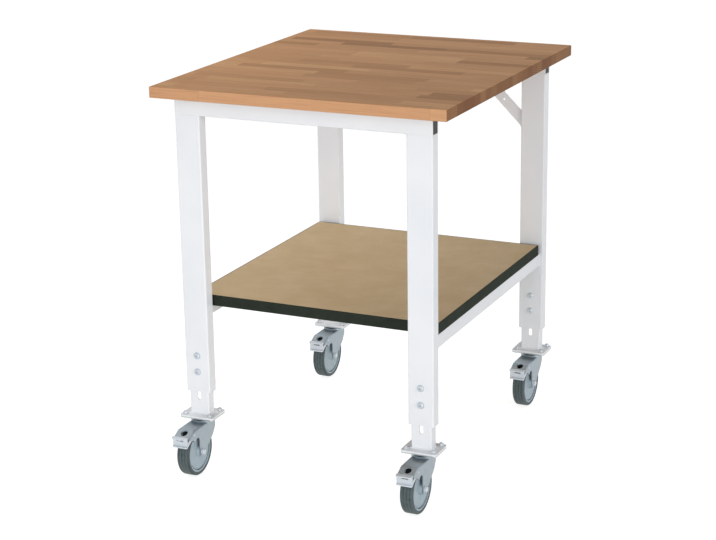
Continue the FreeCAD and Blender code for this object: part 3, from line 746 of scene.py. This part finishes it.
@cache
def weld_tree() -> Tree:
    """Lays a weld bead, overlapping ripples, along every edge of a path.

    Returns:
        The tree, built on first use.
    """
    tree, given = new_tree("Weld bead along edges", {
        "Ripple Pitch": "Float", "Bead Radius": "Float", "Finish": "Material"})
    path = add_node(tree, "GeometryNodeMeshToCurve", {"Mesh": given["Geometry"]})
    evenly = add_node(tree, "GeometryNodeResampleCurve", {"Curve": path, "Length": given["Ripple Pitch"]},
                      mode="LENGTH")
    ripple = add_node(tree, "GeometryNodeMeshIcoSphere", {
        "Radius": given["Bead Radius"], "Subdivisions": RIPPLE_SUBDIVISIONS})
    smooth = add_node(tree, "GeometryNodeSetShadeSmooth", {"Geometry": ripple})
    heading = add_node(tree, "FunctionNodeAlignRotationToVector", {
        "Vector": add_node(tree, "GeometryNodeInputTangent")}, axis="X")
    placed = add_node(tree, "GeometryNodeInstanceOnPoints", {
        "Points": evenly, "Instance": smooth, "Rotation": heading})
    end_tree(tree, placed, given["Finish"])
    return tree


@cache
def spring_tree() -> Tree:
    """Coils round wire along a helix about Z.

    Returns:
        The tree, built on first use.
    """
    tree, given = new_tree("Coil spring", {
        "Turns": "Float", "Coil Radius": "Float", "Length": "Float", "Wire Radius": "Float",
        "Finish": "Material"})
    helix = add_node(tree, "GeometryNodeCurveSpiral", {
        "Resolution": COIL_STEPS, "Rotations": given["Turns"], "Start Radius": given["Coil Radius"],
        "End Radius": given["Coil Radius"], "Height": given["Length"]})
    wire = add_node(tree, "GeometryNodeCurvePrimitiveCircle", {
        "Resolution": WIRE_SIDES, "Radius": given["Wire Radius"]})
    coil = add_node(tree, "GeometryNodeCurveToMesh", {
        "Curve": helix, "Profile Curve": wire, "Fill Caps": True})
    end_tree(tree, coil, given["Finish"])
    return tree


def grow(name: str, tree: Tree, points: Sequence[Vector], edges: Sequence[tuple[int, int]],
         values: dict[str, Any]) -> Mesh:
    """Runs a Geometry Nodes tree on a small guide and keeps the result as a plain mesh.

    Args:
        name: Name of the new mesh.
        tree: The tree to run.
        points: The guide's points.
        edges: The guide's edges, as pairs of point numbers.
        values: Input names with their values.

    Returns:
        The plain mesh.
    """
    guide_mesh = bpy.data.meshes.new(f"{name}_guide")
    guide_mesh.from_pydata([tuple(point) for point in points], edges, [])
    guide = add_object(f"{name}_guide", guide_mesh)
    modifier = guide.modifiers.new("Grow", "NODES")
    modifier.node_group = tree
    for socket in tree.interface.items_tree:
        if socket.in_out == "INPUT" and socket.name in values:
            modifier[socket.identifier] = values[socket.name]
    grown = guide.evaluated_get(bpy.context.evaluated_depsgraph_get())
    mesh = bpy.data.meshes.new_from_object(grown)
    mesh.name = name
    guide.modifiers.remove(modifier)
    bpy.data.objects.remove(guide)
    bpy.data.meshes.remove(guide_mesh)
    return mesh


def stand_fasteners(name: str, fastener: Mesh, points: Sequence[Vector], axis: Vector, seed: int) -> Mesh:
    """Stands copies of one bright plated fastener on points.

    Args:
        name: Name of the new mesh.
        fastener: Mesh of one fastener.
        points: Where they stand.
        axis: Axis that each one is turned about by chance.
        seed: Seed of those turns.

    Returns:
        All of them as one plain mesh.
    """
    model = add_object(f"{name}_model", fastener)
    mesh = grow(name, fastener_tree(), points, [], {
        "Fastener": model, "Turn Axis": axis, "Seed": seed, "Finish": BRIGHT_ZINC.material()})
    bpy.data.objects.remove(model)
    bpy.data.meshes.remove(fastener)
    return mesh


@dataclass(frozen=True)
class WeldSet:
    """Short welds that hold tubes and plates together, under the paint."""

    radius: float = 2.1 * MM
    pitch: float = 1.7 * MM

    def lay(self, name: str, body: str, runs: Runs) -> None:
        """Lays one bead along each run.

        Args:
            name: The piece's name.
            body: Body that carries the welds.
            runs: Points of each bead in order.
        """
        points: list[Vector] = []
        edges: list[tuple[int, int]] = []
        for run in runs:
            first = len(points)
            points.extend(run)
            edges.extend((index, index + 1) for index in range(first, first + len(run) - 1))
        mesh = grow(name, weld_tree(), points, edges, {
            "Ripple Pitch": self.pitch, "Bead Radius": self.radius, "Finish": WHITE_COAT.material()})
        settle(name, mesh, body, "frame_paint")


FILLET = WeldSet()


@dataclass
class Worktop:
    """The glued beech board and the screws that hold it."""

    board: str = "worktop"
    screws: str = "worktop_screws"

    def build(self) -> None:
        """Finishes the board and its hidden screws."""
        dress(self.board, BEECH)
        dress(self.screws, SCREW_ZINC)


@dataclass
class LegFrames:
    """Two welded leg frames with their plugs and braces."""

    weld_clear: float = 3.0 * MM
    tab_sheet: float = 3.0 * MM
    tab_share: float = 0.28
    seam: WeldSet = WeldSet(radius=1.5 * MM, pitch=1.0 * MM)
    seam_depth: float = 1.45 * MM
    seam_lift: float = 1.0 * MM

    def build(self) -> None:
        """Finishes the tubes and lays the welds between them."""
        painted = ["front_crossbar", "rear_crossbar", "brace_left", "brace_right"]
        for node in painted + [corner.node("leg") for corner in Corner]:
            dress(node, WHITE_COAT)
        dress("crossbar_plugs", BLACK_PLUG)
        FILLET.lay("leg_frame_welds", "frame", self.leg_welds() + self.brace_welds())
        self.seam.lay("leg_seam_welds", "frame", self.seam_welds())

    def seam_welds(self) -> Runs:
        """Places flush beads in the grooves between each leg's top and the crossbar's rounded edges.

        Returns:
            The points of each bead, one in front and one behind for each leg.
        """
        runs = []
        for corner in Corner:
            low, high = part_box(corner.node("leg"))
            ends = (low.x + self.weld_clear, high.x - self.weld_clear)
            for y in (low.y + self.seam_depth, high.y - self.seam_depth):
                runs.append([Vector((x, y, high.z + self.seam_lift)) for x in ends])
        return runs

    def leg_welds(self) -> Runs:
        """Places one bead under the crossbar along each leg's inner side.

        Returns:
            The points of each bead.
        """
        runs = []
        for corner in Corner:
            low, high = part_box(corner.node("leg"))
            x = low.x if low.x > 0 else high.x
            ends = (low.y + self.weld_clear, high.y - self.weld_clear)
            runs.append([Vector((x, y, high.z)) for y in ends])
        return runs

    def brace_welds(self) -> Runs:
        """Places a bead along the rear edge of both tabs of each brace.

        Returns:
            The points of each bead.
        """
        runs = []
        for side, name in ((-1, "brace_left"), (1, "brace_right")):
            low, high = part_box(name)
            leg_x, far_x = (high.x, low.x) if side > 0 else (low.x, high.x)
            stretch = (self.weld_clear, (high.z - low.z) * self.tab_share)
            x, z = leg_x - side * self.tab_sheet, high.z - self.tab_sheet
            runs.append([Vector((x, high.y, low.z + step)) for step in stretch])
            runs.append([Vector((far_x + side * step, high.y, z)) for step in stretch])
        return runs


@dataclass
class Shelf:
    """The lower shelf: board, edge band, screws, and the rails that carry it."""

    rails: tuple[str, str] = ("rail_left", "rail_right")

    def build(self) -> None:
        """Finishes the shelf and welds its rails to the legs."""
        dress("shelf_board", FIBREBOARD)
        dress("shelf_edging", EDGE_BAND)
        dress("shelf_screws", SCREW_ZINC)
        runs = []
        for node in self.rails:
            dress(node, WHITE_COAT)
            low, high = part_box(node)
            around = [(low.x, high.z), (low.x, low.z), (high.x, low.z), (high.x, high.z)]
            runs += [[Vector((x, y, z)) for x, z in around] for y in (low.y, high.y)]
        FILLET.lay("rail_welds", "frame", runs)


@dataclass
class FootClamps:
    """The button-head screws that clamp each telescopic foot, and their nut bars."""

    head_radius: float = 7.0 * MM
    head_height: float = 4.5 * MM
    # shares of the head's radius and height, from its rim to the edge of its socket
    head_profile: Sequence[tuple[float, float]] = (
        (1.0, 0.42), (0.93, 0.66), (0.78, 0.86), (0.58, 0.98), (0.5, 1.0))
    washer_radius: float = 8.4 * MM
    washer_height: float = 1.0 * MM
    shank_radius: float = 4.0 * MM
    socket_flat: float = 2.5 * MM
    socket_depth: float = 2.4 * MM
    turn_seed: int = 11

    def screw(self, grip: float) -> Mesh:
        """Makes one screw along Y, its head in front of zero and its shank behind.

        Args:
            grip: Length of the shank.

        Returns:
            The screw's mesh.
        """
        top = self.head_height
        stack = RingStack()
        stack.barrel(self.shank_radius, -grip, 0.0)
        stack.barrel(self.washer_radius, 0.0, self.washer_height)
        stack.shell([
            (Ring.ROUND, self.head_radius, self.washer_height),
            *((Ring.ROUND, self.head_radius * out, top * up) for out, up in self.head_profile),
            (Ring.HEXAGON, self.socket_flat, top),
            (Ring.HEXAGON, self.socket_flat, top - self.socket_depth)])
        return stack.mesh("clamp_screw_model", Matrix.Rotation(QUARTER_TURN, 4, "X"))

    def build(self) -> None:
        """Finishes the nut bars and stands two screws on each leg's front face."""
        dress("clamp_plates", SCREW_ZINC)
        low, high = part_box("clamp_bolts")
        heights = (low.z + self.head_radius, high.z - self.head_radius)
        points = []
        for corner in Corner:
            leg_low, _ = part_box(corner.node("leg"))
            x = middle(corner.node("leg")).x
            points += [Vector((x, leg_low.y, z)) for z in heights]
        # the rearmost bolts end at the back of the bolts' common box
        rear_low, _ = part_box(Corner.REAR_LEFT.node("leg"))
        screw = self.screw(high.y - rear_low.y)
        mesh = stand_fasteners("clamp_screws", screw, points, Vector((0, 1, 0)), self.turn_seed)
        settle("clamp_screws", mesh, "frame", "zinc", "clamp_bolts")


@dataclass
class Caster:
    """One telescopic foot with its braked swivel caster."""

    corner: Corner
    bolt_pitch_x: float = 64.0 * MM
    bolt_pitch_y: float = 46.0 * MM
    bolt_radius: float = 3.0 * MM
    head_radius: float = 5.5 * MM
    # shares of the bolt head's radius and height, from its crown to its seat
    head_profile: Sequence[tuple[float, float]] = ((0.72, 1.0), (0.94, 0.7), (1.0, 0.3), (1.0, 0.0))
    nut_flat: float = 5.0 * MM
    nut_height: float = 5.0 * MM
    nut_crown: float = 0.97
    chamfer: float = 0.8 * MM
    thread_pitch: float = 1.0 * MM
    thread_depth: float = 0.4 * MM
    axle_radius: float = 4.0 * MM
    axle_nut_flat: float = 6.5 * MM
    axle_nut_height: float = 6.5 * MM
    axle_head_flat: float = 6.24 * MM
    axle_head_tip: float = 5.98 * MM
    flange_height: float = 1.2 * MM
    flange_step: float = 0.4 * MM
    sleeve_radius: float = 6.0 * MM
    spring_turns: float = 11.0
    spring_radius: float = 3.9 * MM
    spring_wire: float = 0.6 * MM
    spring_length: float = 15.0 * MM

    def build(self) -> None:
        """Finishes the foot, fork, wheel and pedal, and adds fasteners, spring and weld."""
        finishes = {"foot_channel": WHITE_COAT, "foot_plate": WHITE_COAT, "caster_plate": SCREW_ZINC,
                    "swivel_race": BLACK_PLUG, "caster_fork": FORK_ZINC, "wheel_core": WHEEL_GREY,
                    "tyre": TYRE_GREY, "brake_pedal": BRIGHT_ZINC}
        for piece, finish in finishes.items():
            dress(self.corner.node(piece), finish)
        self.build_bolts()
        self.build_axle()
        self.build_spring()
        self.build_weld()

    def thread(self, start: float, end: float) -> list[RingRow]:
        """Makes the rings of a threaded end, crest and root by turns.

        Args:
            start: Height of the first ring.
            end: Height of the tip.

        Returns:
            The rings in order.
        """
        crest, root = self.bolt_radius, self.bolt_radius - self.thread_depth
        rings = [(Ring.ROUND, crest, start)]
        for turn in range(int((end - start) / self.thread_pitch)):
            height = start + (turn + 0.5) * self.thread_pitch
            rings.append((Ring.ROUND, root, height))
            rings.append((Ring.ROUND, crest, height + self.thread_pitch / 2))
        rings.append((Ring.ROUND, root, end))
        return rings

    def nut(self, stack: RingStack, base: float, flat: float, height: float) -> None:
        """Adds a chamfered hexagon nut.

        Args:
            stack: Stack that takes the nut.
            base: Height of its bearing face.
            flat: Half its width across flats.
            height: Its height, negative to build downwards.
        """
        chamfer = math.copysign(self.chamfer, height)
        tip = base + height
        stack.shell([(Ring.ROUND, flat, base), (Ring.HEXAGON, flat, base + chamfer),
                     (Ring.HEXAGON, flat, tip - chamfer), (Ring.ROUND, flat * self.nut_crown, tip)])

    def build_bolts(self) -> None:
        """Stands four bolts with nuts in the caster plate and the foot plate."""
        node = self.corner.node("caster_bolts")
        low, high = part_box(node)
        plate_low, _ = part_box(self.corner.node("caster_plate"))
        _, foot_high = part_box(self.corner.node("foot_plate"))
        head = plate_low.z - low.z
        nut_seat = foot_high.z - plate_low.z
        tip = high.z - plate_low.z
        stack = RingStack()
        stack.shell([(Ring.ROUND, self.head_radius * out, -head * up) for out, up in self.head_profile])
        stack.shell([(Ring.ROUND, self.bolt_radius, 0.0), *self.thread(nut_seat, tip)])
        self.nut(stack, nut_seat, self.nut_flat, self.nut_height)
        bolt = stack.mesh("caster_bolt_model")
        centre = middle(self.corner.node("caster_plate"))
        out_x, out_y = self.bolt_pitch_x / 2, self.bolt_pitch_y / 2
        points = [Vector((centre.x + i * out_x, centre.y + j * out_y, plate_low.z))
                  for i in (-1, 1) for j in (-1, 1)]
        name = self.corner.node("caster_nuts_and_bolts")
        seed = list(Corner).index(self.corner)
        mesh = stand_fasteners(name, bolt, points, Vector((0, 0, 1)), seed)
        settle(name, mesh, self.corner.node("foot"), "zinc", node)

    def build_axle(self) -> None:
        """Puts the axle screw through the fork, with its flanged head, its nut and the sleeve in the hub."""
        node = self.corner.node("axle_bolt")
        low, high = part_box(node)
        pedal_low, pedal_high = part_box(self.corner.node("brake_pedal"))
        # the pedal's pin ends flush with the outsides of the fork's arms
        wall = (pedal_high.x - pedal_low.x) / 2
        centre = middle(node)
        centre.x = middle(self.corner.node("caster_fork")).x
        reach = high.x - centre.x
        flange = (high.z - low.z) / 2
        step = wall + self.flange_height
        stack = RingStack()
        stack.barrel(self.sleeve_radius, -wall, wall)
        stack.shell([(Ring.ROUND, flange, wall), (Ring.ROUND, flange, step),
                     (Ring.HEXAGON, self.axle_head_flat, step + self.flange_step),
                     (Ring.HEXAGON, self.axle_head_flat, reach - self.chamfer),
                     (Ring.ROUND, self.axle_head_tip, reach)])
        stack.barrel(self.axle_radius, low.x - centre.x, -wall)
        self.nut(stack, -wall, self.axle_nut_flat, -self.axle_nut_height)
        name = self.corner.node("axle_screw")
        mesh = stack.mesh(name, Matrix.Translation(centre) @ Matrix.Rotation(QUARTER_TURN, 4, "Y"))
        mesh.materials.append(BRIGHT_ZINC.material())
        settle(name, mesh, self.corner.node("fork"), "bright_steel", node)

    def build_spring(self) -> None:
        """Coils the brake's return spring round the pedal's pin, behind the fender's window. Its near-black
        wire is partly painted shade, so that the window reads dark.
        """
        name = self.corner.node("brake_spring")
        # near-black wire: the spring's own blackened finish, and painted shade inside the fender's window
        mesh = grow(name, spring_tree(), [Vector()], [], {
            "Turns": self.spring_turns, "Coil Radius": self.spring_radius, "Length": self.spring_length,
            "Wire Radius": self.spring_wire, "Finish": SPRING_BLACK_AS_SHADE.material()})
        brake = self.corner.node("brake")
        pin = next(Vector(joint["pos_m"]) for joint in frame["joints"] if joint["name"] == brake)
        along_pin = Matrix.Rotation(QUARTER_TURN, 4, "Y")
        centred = Matrix.Translation((0, 0, -self.spring_length / 2))
        mesh.transform(Matrix.Translation(pin) @ along_pin @ centred)
        settle(name, mesh, self.corner.node("pedal"), "bright_steel")

    def build_weld(self) -> None:
        """Lays a bead round the foot of the channel, open at the back as the channel is."""
        low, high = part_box(self.corner.node("foot_channel"))
        _, plate_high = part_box(self.corner.node("foot_plate"))
        around = [(low.x, high.y), (low.x, low.y), (high.x, low.y), (high.x, high.y)]
        run = [Vector((x, y, plate_high.z)) for x, y in around]
        FILLET.lay(self.corner.node("foot_weld"), self.corner.node("foot"), [run])


@dataclass(frozen=True)
class SoftBox:
    """One rectangular studio lamp, which neither the camera nor a reflection shows."""

    name: str
    place: Vector
    target: Vector
    watts: float
    width: float
    height: float

    def build(self) -> None:
        """Hangs the lamp at its place, turned to its target."""
        lamp = bpy.data.lights.new(self.name, "AREA")
        lamp.shape = "RECTANGLE"
        lamp.energy = self.watts
        lamp.size = self.width
        lamp.size_y = self.height
        holder = add_object(self.name, lamp)
        holder.location = self.place
        holder.rotation_euler = (self.place - self.target).to_track_quat("Z", "Y").to_euler()
        holder.visible_camera = False
        holder.visible_glossy = False


@dataclass(frozen=True)
class DistantLight:
    """One far light, wide enough for soft shadows. Its azimuth turns from straight in front to the right."""

    name: str
    azimuth_deg: float
    height_deg: float
    strength: float
    spread_deg: float

    def build(self) -> None:
        """Turns the light so that it shines from its azimuth and height."""
        lamp = bpy.data.lights.new(self.name, "SUN")
        lamp.energy = self.strength
        lamp.angle = math.radians(self.spread_deg)
        azimuth, height = math.radians(self.azimuth_deg), math.radians(self.height_deg)
        towards = Vector((math.sin(azimuth) * math.cos(height), -math.cos(azimuth) * math.cos(height),
                          math.sin(height)))
        add_object(self.name, lamp).rotation_euler = towards.to_track_quat("Z", "Y").to_euler()


LAMPS = (
    SoftBox("key_soft_box", place=Vector((0.35, -3.2, 0.75)), target=Vector((0.0, 0.0, 0.6)), watts=31.0,
            width=1.4, height=1.0),
    SoftBox("left_soft_box", place=Vector((-1.3, 0.1, 1.4)), target=Vector((0.0, 0.0, 0.7)), watts=10.0,
            width=0.9, height=0.9),
    DistantLight("side_light", azimuth_deg=66.0, height_deg=9.0, strength=1.2, spread_deg=30.0))


def background_share(tree: Tree) -> Feed:
    """Tells rays that see the background itself, from the camera, off metal or through glass.

    Args:
        tree: Tree that takes the nodes.

    Returns:
        One for such a ray, and zero for one that lights the bench.
    """
    rays = add_node(tree, "ShaderNodeLightPath").outputs
    share = rays["Is Camera Ray"]
    for kind in ("Is Glossy Ray", "Is Transmission Ray"):
        share = add_node(tree, "ShaderNodeMath", {0: share, 1: rays[kind]}, operation="MAXIMUM")
    return share


@dataclass
class Studio:
    """Pale floor, soft light and the camera that took the view."""

    floor_half: float = 60.0
    floor_lit: str = "#eaeaea"
    floor_seen: str = "#adadad"
    floor_lift: float = 0.82
    horizon_light: float = 1.0
    zenith_light: float = 0.17
    camera_place: Vector = Vector((1.7114, -3.7691, 1.6742))
    camera_yaw_deg: float = 24.916
    camera_pitch_deg: float = -16.999
    camera_roll_deg: float = -0.899
    focal_px: float = 1826.1

    def build(self) -> None:
        """Sets up the view, the floor, the world, the lamps and the camera."""
        bpy.context.scene.view_settings.view_transform = "Standard"
        self.build_floor()
        self.build_world()
        for lamp in LAMPS:
            lamp.build()
        self.build_camera()

    def build_floor(self) -> None:
        """Lays a wide pale floor, near white to the camera, that still shows the bench's shadow."""
        half = self.floor_half
        corners = [(-half, -half, 0), (half, -half, 0), (half, half, 0), (-half, half, 0)]
        mesh = bpy.data.meshes.new("studio_floor")
        mesh.from_pydata(corners, [], [(0, 1, 2, 3)])
        floor = add_object("studio_floor", mesh)
        material = bpy.data.materials.new("pale_studio_floor")
        material.use_nodes = True
        tree = material.node_tree
        tree.nodes.clear()
        lit = add_node(tree, "ShaderNodeBsdfDiffuse", {"Color": linear(self.floor_lit)})
        shown = add_node(tree, "ShaderNodeBsdfDiffuse", {"Color": linear(self.floor_seen)})
        lift = add_node(tree, "ShaderNodeEmission", {"Strength": self.floor_lift})
        seen = add_node(tree, "ShaderNodeAddShader", {0: shown, 1: lift})
        both = add_node(tree, "ShaderNodeMixShader", {0: background_share(tree), 1: lit, 2: seen})
        add_node(tree, "ShaderNodeOutputMaterial", {"Surface": both})
        mesh.materials.append(material)

    def build_world(self) -> None:
        """Sets a white background whose light on the bench is stronger from the sides than from above."""
        world = bpy.data.worlds.new("studio")
        world.use_nodes = True
        bpy.context.scene.world = world
        tree = world.node_tree
        tree.nodes.clear()
        heading = add_node(tree, "ShaderNodeTexCoord").outputs["Generated"]
        height = add_node(tree, "ShaderNodeSeparateXYZ", {0: heading}).outputs["Z"]
        level = add_node(tree, "ShaderNodeMapRange", {
            "Value": height, "To Min": self.horizon_light, "To Max": self.zenith_light})
        light = add_node(tree, "ShaderNodeBackground", {"Color": linear(WHITE), "Strength": level})
        seen = add_node(tree, "ShaderNodeBackground", {"Color": linear(WHITE)})
        both = add_node(tree, "ShaderNodeMixShader", {0: background_share(tree), 1: light, 2: seen})
        add_node(tree, "ShaderNodeOutputWorld", {"Surface": both})

    def build_camera(self) -> None:
        """Sets the camera at the view's own place, turned by yaw, pitch and a slight roll."""
        yaw, pitch = math.radians(self.camera_yaw_deg), math.radians(self.camera_pitch_deg)
        ahead = Vector((-math.sin(yaw) * math.cos(pitch), math.cos(yaw) * math.cos(pitch), math.sin(pitch)))
        right = Vector((math.cos(yaw), math.sin(yaw), 0.0))
        turn = Matrix((right, right.cross(ahead), -ahead)).transposed().to_4x4()
        roll = Matrix.Rotation(math.radians(self.camera_roll_deg), 4, "Z")
        lens = bpy.data.cameras.new("camera")
        lens.sensor_width = SENSOR_WIDTH_MM
        lens.lens = SENSOR_WIDTH_MM * self.focal_px / IMAGE_WIDTH_PX
        camera = add_object("camera", lens)
        camera.matrix_world = Matrix.Translation(self.camera_place) @ turn @ roll
        bpy.context.scene.camera = camera


def main() -> None:
    """Builds the bench in order, then the studio."""
    logging.basicConfig(level=logging.INFO, format="%(name)s: %(message)s")
    Worktop().build()
    LegFrames().build()
    Shelf().build()
    FootClamps().build()
    for corner in Corner:
        Caster(corner).build()
    Studio().build()


if __name__ == "__main__":
    main()
